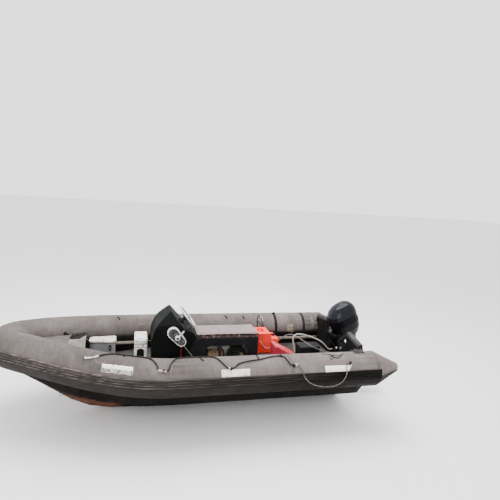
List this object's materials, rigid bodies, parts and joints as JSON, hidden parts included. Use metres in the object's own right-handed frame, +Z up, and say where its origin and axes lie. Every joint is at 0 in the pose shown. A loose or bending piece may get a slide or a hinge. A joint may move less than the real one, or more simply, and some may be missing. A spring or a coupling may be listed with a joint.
{
  "type": "rigid inflatable boat",
  "caption": "Rigid inflatable boat with a ribbed rubbing strake, steering console with jockey seat, stowed fuel tanks and a steerable, tilting outboard motor.",
  "frame": {"origin": "on the keel pad's flat underside, on the centre plane", "axes": "+X aft, +Y to starboard, +Z up"},
  "size_m": [5.6962, 2.318, 1.4851],
  "materials": {
    "black_plastic": "moulded, satin",
    "black_webbing": "woven webbing",
    "canvas": "coarse, folded",
    "console_gloss": "gelcoat, glossy",
    "cushion_vinyl": "padded vinyl, faded",
    "deck_paint": "painted laminate, worn",
    "faded_red_plastic": "moulded, sun-faded",
    "galvanised_steel": "dull",
    "grey_trim": "weathered",
    "hull_paint": "weathered gelcoat",
    "motor_black": "gloss paint",
    "motor_metal": "cast",
    "motor_navy": "deep gloss",
    "netting": "knotted net",
    "red_plastic": "moulded",
    "rope_black": "braided",
    "rope_grey": "matt",
    "rope_red": "coiled cord",
    "strake_rubber": "ribbed, weathered",
    "transom_paint": "painted board, worn",
    "tube_fabric": "coated fabric, blotched",
    "white_plastic": "moulded, scuffed"
  },
  "bodies": {
    "boat": {"battery_box": "black_plastic", "bow_dodger": "tube_fabric", "bow_eye": "galvanised_steel", "bow_locker": "grey_trim", "canvas_bundle": "canvas", "cone_port": "tube_fabric", "cone_starboard": "tube_fabric", "console": "console_gloss", "deck": "deck_paint", "front_step": "white_plastic", "fuel_hose": "rope_grey", "fuel_tank": "red_plastic", "helm_unit": "black_plastic", "hull": "hull_paint", "kill_cord": "rope_red", "lifeline_anchor_1": "strake_rubber", "lifeline_anchor_2": "strake_rubber", "lifeline_anchor_3": "strake_rubber", "lifeline_anchor_4": "strake_rubber", "lifeline_port": "rope_black", "motor_clamp": "motor_black", "net_bundle": "netting", "rigging_hose": "white_plastic", "seat_base": "console_gloss", "seat_cushion": "cushion_vinyl", "slack_line": "rope_grey", "strake_bow": "strake_rubber", "strake_port": "strake_rubber", "strake_starboard": "strake_rubber", "strap_aft": "black_webbing", "strap_middle": "black_webbing", "throttle_box": "white_plastic", "throttle_cable": "rope_grey", "tilt_tube": "galvanised_steel", "transom": "transom_paint", "transom_cap_port": "grey_trim", "transom_cap_starboard": "grey_trim", "tube_bow_port": "tube_fabric", "tube_bow_starboard": "tube_fabric", "tube_port": "tube_fabric", "tube_starboard": "tube_fabric", "wedge_tank": "faded_red_plastic"},
    "steering_wheel": {"steering_wheel_rim": "white_plastic", "steering_wheel_hub": "black_plastic"},
    "throttle": {"throttle_lever": "white_plastic", "throttle_grip": "black_plastic"},
    "trim_switch": {"trim_button": "grey_trim"},
    "key": {"ignition_key": "black_plastic"},
    "locker_lid": {"bow_locker_lid": "white_plastic"},
    "filler_cap": {"fuel_cap": "black_plastic"},
    "battery_cover": {"battery_lid": "black_plastic"},
    "tilt_bracket": {"swivel_bracket": "motor_black"},
    "outboard": {"midsection": "motor_black", "gearcase": "motor_black", "lower_cowl": "motor_black", "upper_cowl": "motor_black", "hood": "motor_navy", "powerhead": "motor_metal"},
    "propeller_shaft": {"propeller": "motor_black"},
    "crankshaft": {"drive_shaft": "galvanised_steel"}
  },
  "joints": [
    {"name": "wheel_turn", "type": "hinge", "parent": "boat", "child": "steering_wheel", "pos_m": [-0.15701, 0, 1.27851], "axis": [0.784, 0, 0.6207], "range_deg": [-540, 540]},
    {"name": "throttle_swing", "type": "hinge", "parent": "boat", "child": "throttle", "pos_m": [-0.315, -0.3153, 1.078], "axis": [0, 1, 0], "range_deg": [-60, 60]},
    {"name": "trim_press", "type": "slide", "parent": "throttle", "child": "trim_switch", "axis": [0, 1, 0], "range_m": [0, 0.002], "stiffness_N_per_m": 400},
    {"name": "key_turn", "type": "hinge", "parent": "boat", "child": "key", "pos_m": [-0.37188, -0.3153, 1.14117], "axis": [0, 1, 0], "range_deg": [0, 90]},
    {"name": "locker_lid_hinge", "type": "hinge", "parent": "boat", "child": "locker_lid", "pos_m": [-1.1158, 0.1, 0.8981], "axis": [0, 1, 0], "range_deg": [0, 100]},
    {"name": "fuel_cap_turn", "type": "hinge", "parent": "boat", "child": "filler_cap", "pos_m": [1.285, 0.42, 0.8053], "axis": [0, 0, 1], "range_deg": [0, 540]},
    {"name": "battery_lid_lift", "type": "slide", "parent": "boat", "child": "battery_cover", "axis": [0, 0, 1], "range_m": [0, 0.04]},
    {"name": "tilt", "type": "hinge", "parent": "boat", "child": "tilt_bracket", "pos_m": [2.2, 0, 0.78], "axis": [0, -1, 0], "range_deg": [-26, 38]},
    {"name": "steer", "type": "hinge", "parent": "tilt_bracket", "child": "outboard", "pos_m": [2.30336, 0, 0.83041], "axis": [-0.4384, 0, 0.8988], "range_deg": [-30.1, 30.1]},
    {"name": "crank_spin", "type": "hinge", "parent": "outboard", "child": "crankshaft", "pos_m": [2.42021, 0, 0.8874], "axis": [-0.4384, 0, 0.8988], "continuous": true},
    {"name": "propeller_spin", "type": "hinge", "parent": "outboard", "child": "propeller_shaft", "pos_m": [2.87858, 0, 0.2487], "axis": [0.8988, 0, 0.4384], "continuous": true}
  ],
  "couplings": [
    {"joint": "steer", "follows": "wheel_turn", "ratio": -0.055556},
    {"joint": "propeller_spin", "follows": "crank_spin", "ratio": 0.5}
  ]
}
